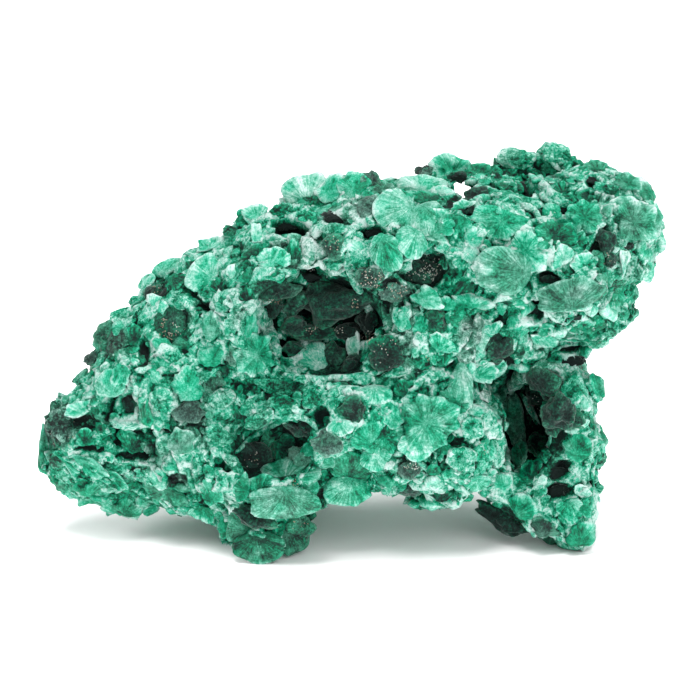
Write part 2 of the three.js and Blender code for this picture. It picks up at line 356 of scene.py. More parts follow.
def broken_crust(points, size, salt):
    """Height of a crust broken into cells, about -1 to 1: a fifth of the cells are domes,
    falling with the square of the distance from the middle, a third are cups, rising with
    it, and the rest are planes tilted by chance. Cells meet in creases or thin edges."""
    offset, nearest, second, luck = cells(points, size, salt)
    tilt = ((luck[:, 1:4] - 0.5) * offset / size).sum(axis=1) * 4
    dome, cup = 0.6 - 1.7 * nearest**2, 1.7 * nearest**2 - 0.5
    height = np.select([luck[:, 0] < 0.2, luck[:, 0] < 0.55], [dome, cup], tilt)
    crease = np.clip(1 - (second - nearest) / 0.15, 0, 1)
    return height + np.where(luck[:, 1] < 0.5, -0.8, 0.3) * crease


def solid_arrays(mesh):
    """A mesh's points in millimetres, its faces' corners and its edges, as arrays."""
    points = np.empty(len(mesh.vertices) * 3)
    mesh.vertices.foreach_get("co", points)
    corners = np.empty(len(mesh.loops), dtype=np.int32)
    mesh.loops.foreach_get("vertex_index", corners)
    edges = np.empty(len(mesh.edges) * 2, dtype=np.int32)
    mesh.edges.foreach_get("vertices", edges)
    return points.reshape(-1, 3) / MM, corners.reshape(len(mesh.polygons), -1), edges.reshape(-1, 2)


def neighbour_mean(values, edges, times=1):
    """The mean of each point's neighbours along edges, taken a number of times."""
    count = np.bincount(edges.ravel(), minlength=len(values))
    ends = np.concatenate([edges, edges[:, ::-1]])
    for _ in range(times):
        columns = [np.bincount(ends[:, 0], values[ends[:, 1], k], len(values)) for k in range(3)]
        values = np.stack(columns, axis=1) / count[:, None]
    return values


def unit(vectors):
    """Vectors divided by their lengths."""
    return vectors / np.linalg.norm(vectors, axis=-1, keepdims=True)


def face_normals(points, faces):
    """Unit normals at the points: the sum of the cross products of each face's diagonals."""
    quads = points[faces]
    across = np.cross(quads[:, 2] - quads[:, 0], quads[:, -1] - quads[:, 1])
    shares = np.repeat(across, faces.shape[1], axis=0)
    columns = [np.bincount(faces.ravel(), shares[:, k], len(points)) for k in range(3)]
    return unit(np.stack(columns, axis=1))


def view_place(points):
    """How far across and up the view a point shows, on the plane square to it at the focus."""
    sight = points - eye
    scale = DISTANCE / -(sight @ towards)
    return sight @ sideways * scale, sight @ upwards * scale


def patchwork(points, normals):
    """How pale, dusty, velvety and sunk each point is. Clouds of noise stir the pale and the
    dusty all round; then each patch of the show face takes over, fully inside 0.7 of its
    size and not at all beyond 1.2 of it."""
    facing = np.clip(normals @ towards * 3 + 0.8, 0, 1)
    pale = 0.58 + 0.18 * noise(points, 6.0, 31) + 0.24 * noise(points, 2.6, 32)
    dusty = np.clip(noise(points, 8.0, 33) * 1.4 - 0.5, 0, 0.6)
    velvet = np.clip(noise(points, 7.0, 34) * 5 - 2.9, 0, 1) * (1 - 0.8 * facing)
    pale = pale + velvet * (0.12 - pale)
    values = np.stack([pale, dusty, velvet, velvet * 0.6], axis=1)
    across, up = view_place(points)
    wobble = 1 + 0.25 * noise(points, 2.0, 35)
    for middle, height, half_width, half_height, *wanted in PATCHES:
        reach = np.hypot((across - middle) / half_width, (up - height) / half_height) * wobble
        share = facing * np.clip((1.2 - reach) / 0.5, 0, 1)
        values += share[:, None] * (np.array(wanted) - values)
    return values.T


def new_piece(name, points, faces, material, smooth=True, **attributes):
    """A mesh object from arrays, in metres, with point attributes, riding on the stone."""
    mesh = bpy.data.meshes.new(name)
    mesh.from_pydata(points * MM, [], faces.tolist())
    mesh.polygons.foreach_set("use_smooth", np.full(len(faces), smooth))
    for key, values in attributes.items():
        kind, field = ("FLOAT_VECTOR", "vector") if values.ndim == 2 else ("FLOAT", "value")
        mesh.attributes.new(key, kind, "POINT").data.foreach_set(field, values.astype(np.float32).ravel())
    mesh.materials.append(material)
    piece = bpy.data.objects.new(name, mesh)
    bpy.context.scene.collection.objects.link(piece)
    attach(piece, "root")
    return piece


def remeshed(node):
    """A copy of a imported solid, its points merged, remeshed evenly in small squares."""
    work = bmesh.new()
    work.from_mesh(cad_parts[node].data)
    bmesh.ops.remove_doubles(work, verts=work.verts, dist=1e-6)
    mesh = bpy.data.meshes.new("work")
    work.to_mesh(mesh)
    work.free()
    copy = bpy.data.objects.new("work", mesh)
    bpy.context.scene.collection.objects.link(copy)
    remesh = copy.modifiers.new("remesh", "REMESH")
    remesh.mode, remesh.voxel_size = "VOXEL", VOXEL * MM
    even = bpy.data.meshes.new_from_object(copy.evaluated_get(bpy.context.evaluated_depsgraph_get()))
    bpy.data.objects.remove(copy)
    return even


skin, skin_faces, skin_edges = solid_arrays(remeshed(STONE))
for _ in range(SMOOTHING):
    skin += 0.5 * (neighbour_mean(skin, skin_edges) - skin)
broad = face_normals(skin, skin_faces)
pale, dusty, velvet, sunk = patchwork(skin, broad)
rough = (0.75 + 0.35 * noise(skin, 9.0, 36)) * (1 - 0.8 * velvet)
lift = np.zeros(len(skin))
for size, height, salt in CRUSTS:
    lift += broken_crust(skin + lift[:, None] * broad, size, salt) * height * rough
lift = (lift - sunk - SETTLE) * np.clip(skin[:, 2] / FLAT_HEIGHT, 0, 1)
skin += lift[:, None] * broad
skin[:, 2] = np.maximum(skin[:, 2], 0)
# Paler where a point stands out of its neighbours' mean, near and wide, as wear on ridges; darker where
# it lies below it, painted shade in hollows and creases.
near, wide = (((skin - neighbour_mean(skin, skin_edges, times)) * broad).sum(axis=1)
              for times in (3, 14))
ridge_wear_and_hollow_shade = np.clip(near * 0.9 + wide * 0.25, -0.45, 0.4) * (1 - 0.6 * velvet)
offset, _, _, luck = cells(skin, TUFT, 12)
mottled = 0.2 * (luck[:, 0] - 0.5) * (1 - velvet)
body = new_piece("stone_body", skin, skin_faces, crusty,
                 pale=np.clip(pale - 0.08 + ridge_wear_and_hollow_shade + mottled, -0.3, 1), dusty=dusty,
                 ray=offset + broad * 1.2, luck=luck[:, 1])
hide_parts(STONE)

# ----------
# Velvet lobes: smooth, nearly black cushions of short upright fibres. They grew where the
# stone's hollows shelter them, and sit in its skin by their backs.

# Every table of lobes: place across and up the view from the focus, width, height, turn in
# degrees, how pale and how dusty.
VELVET_LOBES = (
    (-12, 9.7, 8, 3.6, 8, 0.24, 0.5), (-2.5, -1.2, 3.6, 5, 0, 0.2, 0.5),
    (0.6, -2.5, 4, 3.5, 0, 0.08, 0.3), (6.2, -0.8, 6, 5.5, 10, 0.12, 0.1),
    (-15.5, -17.3, 5.5, 6, 0, 0.1, 0.5), (-8, -12.2, 4.6, 4, 0, 0.12, 0.2),
    (-10, -16, 4, 4.5, 0, 0.24, 0), (-13, -14.8, 3, 4, 0, 0.36, 0.2),
    (0.7, -9.7, 4.6, 3.8, -10, 0.15, 0.3), (-38.7, 2.2, 5.6, 5.2, -30, 0.36, 0.4),
    (-41.4, -1.4, 2.8, 2, 20, 0.2, 1), (14, 4.6, 3.8, 4.2, 0, 0.24, 0.1),
    (-28.5, 4, 5.8, 6, 0, 0.24, 0.4), (10.8, 13, 8.4, 5, -6, 0.2, 0.5),
    (28.8, -18.4, 5, 3.2, 0, 0.36, 0.1), (-22, -5, 4, 3.2, -20, 0.32, 0.6),
    (-19, -0.4, 2.4, 5, 0, 0.44, 0.6), (-31.2, 8.8, 4, 3, -10, 0.14, 0.4),
    (2.8, 22.4, 3.8, 5.6, -10, 0.42, 1), (3.2, 27, 3.2, 3.8, 0, 0.3, 0.8),
    (-7, -17.3, 6, 3.4, 0, 0.38, 0.6), (-3.5, -14.8, 4.6, 4, 0, 0.34, 0.9),
    (-15.5, -26.6, 7, 3.4, -15, 0.14, 0.4), (-8.5, -29, 6, 5.4, 0, 0.32, 0.3),
    (24.6, -27.2, 10.5, 3.6, -35, 0.02, 0.1), (24.2, 0, 3.8, 5.4, 0, 0.12, 0.3),
    (34.4, -10.8, 6.6, 3.2, -12, 0.2, 0.4), (33, -7, 4.4, 4, 0, 0.12, 0.5),
    (-2.5, 16.4, 4.2, 3.6, 0, 0.28, 0.6), (-49.3, -16, 2.4, 8, 5, 0.42, 0.3),
    (20.3, 24.6, 4.2, 2.6, 20, 0.06, 0.4), (17.6, 27.7, 3.4, 1.6, 0, 0.04, 0.4),
    (11.4, 28.4, 5.4, 2.8, -8, 0.16, 0.8), (9.4, -18.8, 3.8, 3, -30, 0.26, 0.9),
    (9, -22, 4.4, 2.8, -20, 0.2, 0.7), (-25.6, -9.8, 4.6, 3.4, 0, 0.26, 1),
    (-32.5, -10, 2.2, 4.2, 5, 0.36, 0), (41, 17.8, 3.8, 4.6, 0, 0.14, 0.5),
    (41.6, 14.4, 2.4, 2.6, 0, 0.16, 0.5), (3.4, 11.6, 4.4, 3.4, 0, 0.22, 0.8),
    (7.2, 9.6, 5, 3.6, 0, 0.36, 0.9),
)


def globe(rings, spokes):
    """Unit directions on rings from pole to pole, closer on the side that shows: the polar
    angle is pi times the 1.3 power of the ring's share. With them, the triangles between."""
    polar = np.pi * (np.arange(1, rings) / rings) ** 1.3
    around = 2 * np.pi * np.arange(spokes) / spokes
    belts = [np.outer(np.sin(polar), np.cos(around)), np.outer(np.sin(polar), np.sin(around)),
             np.outer(np.cos(polar), np.ones(spokes))]
    directions = np.concatenate([[(0, 0, 1)], np.stack(belts, axis=-1).reshape(-1, 3), [(0, 0, -1)]])
    ring = np.arange(1, len(directions) - 1).reshape(rings - 1, spokes)
    after = np.roll(ring, -1, axis=1)
    corners = [
        (np.zeros(spokes, int), ring[0], after[0]),
        (ring[:-1], ring[1:], after[1:]),
        (ring[:-1], after[1:], after[:-1]),
        (ring[-1], np.full(spokes, len(directions) - 1), after[-1]),
    ]
    return directions, np.concatenate([np.stack(three, axis=-1).reshape(-1, 3) for three in corners])


def stood(places, outward, turn):
    """Axes across, along and out of each lobe: out leans as told, across is level before the
    lobe is turned about out."""
    out = unit(outward)
    level = unit(np.cross((0, 0.2, 1), out))
    along = np.cross(out, level)
    c, s = np.cos(turn)[:, None], np.sin(turn)[:, None]
    return places, np.stack([c * level + s * along, c * along - s * level, out], axis=1)


LEAN_TO_EYE = 0.8
body_tree = BVHTree.FromPolygons(skin.tolist(), skin_faces.tolist())


def in_view(rows, rise=0.0):
    """Where each row's sight line meets the body, or a rise nearer to the eye, with the
    lobe's axes: out of the body, but leaning towards the eye."""
    places, outward = [], []
    for across, up in rows[:, :2]:
        target = focus + across * sideways + up * upwards
        hit, _, face, _ = body_tree.ray_cast(eye, target - eye)
        if hit is None:
            hit, _, face, _ = body_tree.find_nearest(target)
        places.append(np.array(hit) + rise * towards)
        outward.append(broad[skin_faces[face]].mean(axis=0) + LEAN_TO_EYE * towards)
    return stood(np.array(places), np.array(outward), np.radians(rows[:, 4]))


def lobes(name, grid, stand, sizes, tones, material, seed, *, smooth=True, proud=0.25, root=0.0,
          lump=0.12, facets=0, flutes=0, flute_height=0.1, cup=0.0, rim=0.15, ragged=0.0):
    """Closed lobes from one globe of directions. Each direction's reach is 1, less where
    chance planes cut facets, times 1 + lump by noise. About a root, which lies that share of
    the height below the middle, flutes wave as a cosine of the angle, growing outwards, and
    swell the outline with them. The cup lifts each point by the square of its distance from
    the axis. Lobes stand proud of their places by that share of their depth. They pale
    towards the rim by the cube of the distance from the root and along their outline, partly
    wear and partly painted highlight; flute crests are paler and the grooves darker; and they
    darken at the back, painted shade where they sit against the body."""
    rng = np.random.default_rng(seed)
    directions, triangles = globe(*grid)
    places, axes = stand
    count, many = len(places), len(directions)
    luck = rng.random((count, 4))
    reach = np.ones((count, many))
    for _ in range(facets):
        plane, depth = unit(rng.normal(size=(count, 3))), rng.uniform(0.45, 0.85, (count, 1))
        reach = np.minimum(reach, depth / np.maximum(plane @ directions.T, 0.05))
    spread = directions[None] * 1.7 + luck[:, None, :3] * 90
    stir, fine = noise(spread, 1.0, seed), noise(spread, 0.35, seed + 1)
    reach = reach * (1 + lump * stir + ragged * fine)
    x, y, z = np.moveaxis(reach[..., None] * directions, -1, 0)
    away = np.hypot(x, y + root) / (1 + root)
    angle = np.arctan2(x, y + root + 1e-6)
    pleats = flutes * (0.7 + 0.6 * luck[:, :1])
    wave = np.cos(np.round(pleats) * angle + 6.3 * luck[:, 1:2] + 2 * stir)
    z = z + cup * (0.4 + 1.2 * luck[:, 2:3]) * (x**2 + y**2) + flute_height * wave * away * (flutes > 0)
    swell = 1 + 0.35 * flute_height * wave * away * (flutes > 0)
    local = np.stack([x * swell, y * swell, z], axis=-1) * sizes[:, None, :]
    points = places[:, None] + np.einsum("nmk,nkj->nmj", local, axes)
    points += (axes[:, 2] * (sizes[:, 2] * (proud - cup * 0.3))[:, None])[:, None]
    points[..., 2] = np.maximum(points[..., 2], 0)
    pale, dusty = tones
    far = np.clip(away, 0, 1.1) ** 3
    edge = np.clip((np.hypot(directions[:, 0], directions[:, 1]) - 0.85) / 0.15, 0, 1)
    edge *= directions[:, 2] > -0.2
    # Rim and outline paled: partly wear, partly painted highlight. The back darkened: painted shade.
    shade = pale[:, None] + rim * (0.6 * far + 0.7 * edge - 0.35) + 0.12 * stir + 0.5 * ragged * fine
    shade += 0.12 * wave * away * (flutes > 0) - 0.3 * np.clip(-directions[:, 2], 0, 1)
    faces = triangles[None] + many * np.arange(count)[:, None, None]
    ray = np.stack([x, y + root, 0.15 * away * (1 + stir)], axis=-1)
    return new_piece(
        name, points.reshape(-1, 3), faces.reshape(-1, 3), material, smooth,
        pale=np.clip(shade, -0.4, 1).ravel(), dusty=np.repeat(dusty, many), ray=ray.reshape(-1, 3),
        luck=np.repeat(luck[:, 3], many),
    )


def shown_lobes(name, table, depth, rise=0.0, **form):
    """Lobes from a table of the show face, their depth a share of their mean width."""
    rows = np.array(table, dtype=float)
    sizes = rows[:, 2:4] / 2
    sizes = np.column_stack([sizes, depth * np.sqrt(sizes.prod(axis=1))])
    stand = in_view(rows, rise)
    taken.append((stand[0], rows[:, 2:4].mean(axis=1) * 1.7))
    return lobes(name, HERO_GRID, stand, sizes, (rows[:, 5], rows[:, 6]), **form)


HERO_GRID = (18, 36)
taken = []
shown_lobes("velvet_lobes", VELVET_LOBES, 0.55, material=velvety, seed=41, lump=0.4, ragged=0.12,
            facets=2, rim=0.14, proud=0.15)

# Caves: near-black pads in the velvet finish on the floors of the small deep hollows and
# holes, painted shade standing in for the dark inside them.
CAVE_SHADE_PADS = (
    (-10.2, 20, 4.6, 2, 4, -0.3, 0), (-2.4, 21.3, 4.4, 2, -8, -0.3, 0),
    (4.2, 19.2, 3.6, 2, 20, -0.3, 0), (-6.2, 11.2, 4.4, 2, -12, -0.3, 0),
    (35.6, -1.7, 4, 1.6, 0, -0.3, 0), (33.4, -20.2, 5.8, 2.6, -10, -0.2, 0),
    (33.2, -23, 4.6, 3.2, 40, -0.2, 0), (38.8, 27.3, 2.8, 1.4, -10, -0.1, 0.2),
    (-7.6, -9.2, 3.4, 2, 20, 0, 0), (28, 26, 1.6, 2.6, 10, -0.2, 0),
    (34.4, 22.6, 3.6, 1.2, 15, -0.05, 0.1), (29.4, 22.4, 2.8, 1.3, -20, 0, 0.2),
    (19.8, 22.6, 2.8, 1.5, 20, 0.08, 0.4), (31.6, 10.9, 4.2, 2, 10, 0, 0.1),
    (44.6, 16.6, 1.8, 1, 10, 0, 0.2), (-36, -8.2, 3.2, 4.6, 0, 0.06, 0.2),
    (-35, -16.9, 5, 1.4, 0, 0.04, 0.1), (29.5, 5.8, 2.6, 2.2, 0, 0, 0), (34, 4.8, 2.6, 1.8, 0, 0, 0),
    (36.8, 5.1, 2.8, 1.2, 10, 0.04, 0),
)
shown_lobes("dark_caves", CAVE_SHADE_PADS, 0.16, material=velvety, seed=48, lump=0.4, ragged=0.25, rim=0.1,
            proud=0.3)

# The cushions and facets that fill the hollows, in front of their walls.
HOLLOW_LOBES = (
    (-2.2, 7.7, 13, 7, 8, 0.1, 0.25), (-8.6, 7.2, 4.6, 3, 40, 0.24, 0.6),
    (-8.6, 4, 4.4, 3.4, 0, 0.18, 0.4), (-12, 6.4, 3.4, 3, 0, 0.14, 0.4),
    (-6, 2.8, 6, 2.4, 0, 0.12, 0.2), (2.4, 4.2, 3.4, 4, 0, 0.0, 0.1), (-0.6, 3, 4, 3, 0, 0.02, 0.1),
    (-9, 0.2, 3.4, 2, 0, 0.14, 0.1), (25.8, -11, 3.2, 8, 12, 0.46, 0.4),
    (26.8, -16.4, 2.4, 5, 0, 0.46, 0.3), (33.2, -10, 5.4, 5, 30, 0.08, 0.45),
    (30, -7.4, 5, 3.4, 0, 0.14, 0.3), (32, -11.4, 2.4, 4.4, 10, 0.12, 0.3),
    (30.6, -5.2, 6, 3.8, -20, 0.14, 0.45), (29.4, -15, 3.4, 4, 0, 0.2, 0.1),
    # The last row, thin and pale, is a painted glint along the hollow.
    (28.7, -9.4, 0.9, 5.2, 25, 0.7, 0),
)
HOLLOW_RISE = 3.0
shown_lobes("hollow_lobes", HOLLOW_LOBES, 0.75, HOLLOW_RISE, material=velvety, seed=45, lump=0.4,
            ragged=0.14, facets=1, rim=0.14, proud=-0.2)

# ----------
# Mint domes: smooth kidneys of tightly packed fibres, grown fast to the crust by their flat
# backs. Their rims are paler, partly from wear and partly as painted highlight.

MINT_DOMES = (
    (-2.6, 25.9, 5.4, 4.6, 0, 0.68, 0), (0.8, 26.4, 5, 4.8, 0, 0.5, 0),
    (7.2, 28.2, 3.6, 3.4, 0, 0.55, 0.5), (5.4, 25.6, 3.6, 3, 0, 0.42, 0.6),
    (14.6, 20.4, 4.6, 4.2, 0, 0.6, 0.2), (13, 18.6, 4.4, 3, -30, 0.6, 0.3),
    (15, 25.3, 3.4, 2.2, -40, 0.78, 0), (12.4, 24.2, 4.2, 2.8, 0, 0.34, 0),
    (20.8, 24.2, 4.6, 1.8, 14, 0.7, 0.1), (10, 19.6, 5, 3, 20, 0.62, 0),
    (15.9, 29.3, 5.6, 4.8, 10, 0.62, 0.1), (20.5, 28.4, 5, 3.2, 0, 0.42, 0.1),
    (12.2, 8.4, 5, 3, -20, 0.56, 0.1), (15.2, 7.2, 4, 3, 10, 0.6, 0),
    (19.2, 7.6, 5.8, 2.6, -6, 0.66, 0.1), (11.4, 4, 3.4, 4, 0, 0.66, 0),
    (8.2, 5.4, 2.8, 3.8, 10, 0.64, 0.1), (18, -3.6, 4, 5, 0, 0.68, 0),
    (22.8, -2.8, 4.6, 4.6, -35, 0.7, 0.1), (21.4, 3, 2.4, 6, -15, 0.66, 0.4),
    (24.4, 6.8, 2.6, 2.4, 0, 0.66, 0), (24.2, 22, 5, 2.4, -15, 0.76, 0.1),
    (0.8, 0.6, 2.4, 4, 10, 0.82, 0.4), (-25.8, -5.4, 6.6, 5.4, 0, 0.62, 0.1),
    (-22, -0.4, 4.4, 4.6, 0, 0.52, 0), (-16.4, 3.8, 4, 4.6, -20, 0.6, 0),
    (-30, -2, 3.6, 3, 0, 0.6, 0.1), (-27, -14.5, 4.2, 4, 0, 0.52, 0.6),
    # The small dome at 36 across and -12.9 up, paled to 0.9, is a painted highlight.
    (36.8, -8.8, 3.6, 3.8, 0, 0.7, 0.1), (36, -12.9, 3, 1.6, -10, 0.9, 0.1),
    (36.6, -15.4, 5, 4, -30, 0.46, 0.1), (40, -14, 3, 4.4, 0, 0.48, 0.2),
    (39.5, -6, 3, 5, 0, 0.5, 0.1), (44, 22.6, 4.4, 4, 0, 0.58, 0.4), (38, 2.6, 3.4, 3, 0, 0.52, 0.2),
    (34.8, 2.6, 2.4, 2.2, 0, 0.36, 0.4), (-19.6, -28.2, 3.8, 3.8, 0, 0.5, 0),
    (32, -30, 4.4, 3.4, 0, 0.42, 0.6), (36.5, -29.6, 5.2, 4.4, 0, 0.45, 0.1),
    (31.2, -28.4, 5, 3, -20, 0.3, 0.7), (24.4, -21.2, 3.4, 3.6, 0, 0.66, 0.1),
    (27.4, -25.2, 5, 4.2, -30, 0.46, 0), (-36.4, -25.4, 6, 4, 0, 0.42, 0.2),
    (-41.6, -22, 5, 3.4, -10, 0.5, 0.1), (-46, -21.4, 4, 3, 0, 0.44, 0.1),
    (-18.7, 12.5, 2.2, 2.4, 0, 0.92, 0), (-21.6, 4, 4.2, 4.8, 0, 0.58, 0.3),
    (47, 25, 5, 4.2, 30, 0.5, 0.3), (48.3, 21, 3.4, 4.6, 0, 0.5, 0.3), (44, 27, 5, 2.8, -20, 0.5, 0.3),
)
shown_lobes("mint_domes", MINT_DOMES, 0.46, material=smooth, seed=42, lump=0.36, root=0.6, rim=0.3,
            ragged=0.1, facets=3, flutes=7, flute_height=0.09, proud=-0.02)

# ----------
# Fibre fans: pleated petals of silky fibres, each open from one point on the crust, upwards
# before it is turned. They overlap like tiles and stand a little proud.

FANS = (
    (-12, 14.4, 5.4, 5, -20, 0.68, 0), (-9, 14.8, 3.2, 5, -10, 0.3, 0),
    (-11.6, 11.9, 3, 2, 0, 0.34, 0), (-6.5, 21.2, 3.6, 3, 0, 0.45, 0),
    (-4.4, 26.5, 2.4, 1.8, 0, 0.36, 0), (0.6, 27, 2.8, 1.8, 0, 0.3, 0),
    (-14.8, 21.8, 4.2, 4.4, 10, 0.7, 0), (-16.8, 21.2, 3.4, 3.4, -30, 0.5, 0),
    (-15, 18.4, 2.8, 3.2, 0, 0.8, 0), (-15.8, 15.6, 3, 3, 30, 0.25, 0),
    (-22.5, 16.6, 6, 2.8, 10, 0.74, 0), (14.4, 1, 5, 3.2, -10, 0.6, 0.1),
    (15.6, -0.8, 3.2, 2.4, -120, 0.42, 0), (11, 3.8, 3.6, 4, 20, 0.5, 0),
    (8.5, 4, 3.2, 4.2, 30, 0.58, 0), (6.6, -10.2, 3.6, 5, 20, 0.62, 0), (6.4, -15, 3, 3, -100, 0.4, 0),
    (18.5, 10, 4.4, 5.6, 150, 0.3, 0), (14.9, 16.4, 3, 2, 0, 0.76, 0),
    (15.2, 14.4, 2.4, 3, 180, 0.3, 0), (33.5, 15, 4.2, 3, 40, 0.74, 0),
    (18, 22.9, 4.2, 2, 25, 0.62, 0), (17, 20, 4, 4, 160, 0.4, 0), (37.2, 13.6, 5, 3.4, 20, 0.7, 0),
    (46.4, 19.4, 3.6, 3.2, -30, 0.6, 0.1), (43.8, 14.5, 2, 5, 0, 0.78, 0),
    (39.4, 29, 4, 3.8, 0, 0.46, 0.3), (-28, 10.4, 5, 4.2, -150, 0.28, 0),
    (-43, -9.4, 5, 2.8, 20, 0.76, 0), (-36.5, -4, 4, 4.4, 160, 0.56, 0),
    (-22.3, -22, 4.2, 5, 10, 0.5, 0), (-17.6, -21.8, 5, 3, 60, 0.46, 0.1),
    (-6, -15.6, 3.8, 3, -35, 0.5, 0), (-3.4, -17.6, 4, 4, 40, 0.52, 0.1),
    (4.4, -14, 4, 4, -60, 0.44, 0), (3.8, -11.4, 3.4, 3.4, -10, 0.52, 0),
    (-14.5, -27.6, 2.8, 1.8, 0, 0.34, 0), (31, 1.8, 6, 2.4, -10, 0.7, 0),
    (22.5, 3.4, 3.4, 3.4, 10, 0.74, 0), (21, -3, 5, 3.4, -20, 0.66, 0),
    (34.6, -25.8, 5.4, 4.4, 170, 0.58, 0.1), (29, -19.6, 5, 7, 10, 0.34, 0),
    (-30.6, 11.2, 3.6, 3.2, 0, 0.3, 0.2), (27, -19.4, 4, 3, 40, 0.6, 0),
    (32.6, -19.8, 2.6, 1.8, -60, 0.58, 0.4), (37, -22.4, 3.4, 2.2, -20, 0.88, 0),
    (14.6, -23.4, 4.2, 2.8, 0, 0.22, 0), (18.2, -23.6, 4, 2.2, 0, 0.42, 0),
    (-16.2, 8.8, 3, 2.2, 0, 0.26, 0), (-25, 13.6, 2.6, 2.8, 0, 0.28, 0), (-21, 10, 3, 2.6, 30, 0.3, 0),
    (-17.4, -10, 2.4, 5, 10, 0.3, 0), (8.8, -6.4, 3.4, 3.4, 0, 0.28, 0),
    (7.2, -14.4, 4, 1.6, 0, 0.32, 0), (16.6, 20, 3.6, 3.6, 0, 0.28, 0),
    (29.4, 6.4, 3.2, 2.4, 0, 0.24, 0), (41.2, 5.4, 4, 2.6, 0, 0.26, 0.1),
    (26.4, 18.4, 3, 2.6, 60, 0.3, 0), (36.4, 17.6, 3.6, 3, -40, 0.32, 0),
    (23.6, 27.6, 3, 3, 0, 0.28, 0), (33.4, 25.4, 4, 2.4, 30, 0.32, 0),
    (-34.6, 2.6, 3, 3.6, 0, 0.32, 0), (-12.4, -14, 4, 3, 0, 0.2, 0),
    (-34.6, -14.6, 5.4, 3.6, -20, 0.36, 0), (-42.6, -14, 3.6, 2.6, 0, 0.4, 0),
    (-45, -18, 3, 6, -130, 0.56, 0.1), (-41, -19, 3, 7, -125, 0.54, 0.1),
    (-38, -20.4, 2.6, 5, -130, 0.44, 0.1), (-23.4, -25.6, 4.2, 4, 180, 0.48, 0),
    (37.5, -24.6, 4, 3, -60, 0.5, 0.1),
)
shown_lobes("fibre_fans", FANS, 0.28, material=silky, seed=43, root=0.8, flutes=12, flute_height=0.1,
            cup=1.0, rim=0.3, lump=0.3, ragged=0.12, facets=8, proud=0.2)

# ----------
# Rosettes: broad flowers of the same fibres, open all round one point and half sunk in the
# crust. The ends of their petals are paler, partly from wear and partly as painted highlight.

ROSETTES = (
    (12, -11.8, 9.6, 7.6, 0, 0.48, 0.3), (16.4, -8.6, 5, 4.6, 0, 0.4, 0.2),
    (5.4, -14, 6.6, 6, 0, 0.4, 0), (-15, -0.8, 6.8, 6.4, 0, 0.54, 0.2), (32.6, 18, 6.4, 6, 0, 0.34, 0),
    (24.2, 20.4, 8.4, 5, -10, 0.5, 0.1), (28, 15.8, 6, 6.4, 0, 0.64, 0.1),
    (45, 20.4, 7, 6.4, 0, 0.48, 0.5), (37.4, 21, 6, 5, 0, 0.48, 0.1),
)
shown_lobes("rosettes", ROSETTES, 0.3, material=silky, seed=46, flutes=8, flute_height=0.16, cup=0.4,
            rim=0.14, lump=0.3, ragged=0.12, facets=1, proud=-0.1)

# ----------
# Scallops: thick fans whose fibres open evenly to a smooth rounded edge, upwards before they
# are turned. They hang in tiers under the crest and over the front foot.

SCALLOPS = (
    (-10.6, -24.4, 10.8, 6, 178, 0.46, 0.5), (-9.4, -19.8, 9.8, 6, 0, 0.58, 0.4),
    (-14.8, -21.8, 6, 3, 30, 0.4, 0.1), (-7, -21.4, 4.6, 3.2, -40, 0.54, 0.2),
    (0.4, -18.4, 7, 5.6, -20, 0.34, 0.1), (-0.6, -22.4, 7.8, 5.2, 175, 0.54, 0.2),
    (-14.8, -31.4, 8.6, 5, 180, 0.32, 0.3), (-8.8, -29.8, 6.2, 5.2, -120, 0.28, 0.5),
    (-17.6, -28, 6, 4.2, 70, 0.4, 0.45), (3.8, -7.2, 6, 3, 180, 0.72, 0.3),
    (-1.6, -12.4, 4.2, 2.8, 185, 0.8, 0.3), (2.6, -13.4, 5.6, 4.2, 25, 0.56, 0.1),
    (10.4, -15.4, 5, 4.6, 160, 0.66, 0.1), (4.2, -17.4, 5, 4, -170, 0.58, 0.1),
    (5.8, 15.6, 4.6, 6.2, 200, 0.56, 0.25), (9.7, 17.2, 5.4, 4.8, 150, 0.6, 0.25),
    (-6.6, 25.3, 8.2, 6.4, 0, 0.74, 0.4), (7.2, 21.8, 7.4, 6.6, 110, 0.62, 0.35),
    (11.2, 26.4, 9, 3.6, 0, 0.7, 0.3), (12.4, 21, 6.4, 5.4, 200, 0.6, 0.3),
    (24.4, 12.6, 7.4, 9, 90, 0.52, 0.5), (35.4, 9, 11, 5, 10, 0.48, 0.6),
    (-23.4, 12.2, 7, 5, 60, 0.66, 0.2), (-38.2, -5.4, 5.4, 4.4, 20, 0.64, 0.2),
    (-29.4, 13, 6, 3.4, 30, 0.66, 0.2), (-32.6, 11, 3.4, 3, 30, 0.68, 0.1),
    (-29.2, -23, 7.6, 3.8, 155, 0.46, 0.4), (17.8, -6.6, 3.8, 9, 180, 0.56, 0.35),
    (19.6, -21.2, 6, 3.6, 180, 0.62, 0.2), (-5.6, -1.6, 6, 6, 25, 0.7, 0.2),
)
shown_lobes("scallops", SCALLOPS, 0.36, material=silky, seed=47, root=0.8, flutes=9, flute_height=0.06,
            cup=0.2, rim=0.16, lump=0.16, ragged=0.05, proud=0.05)
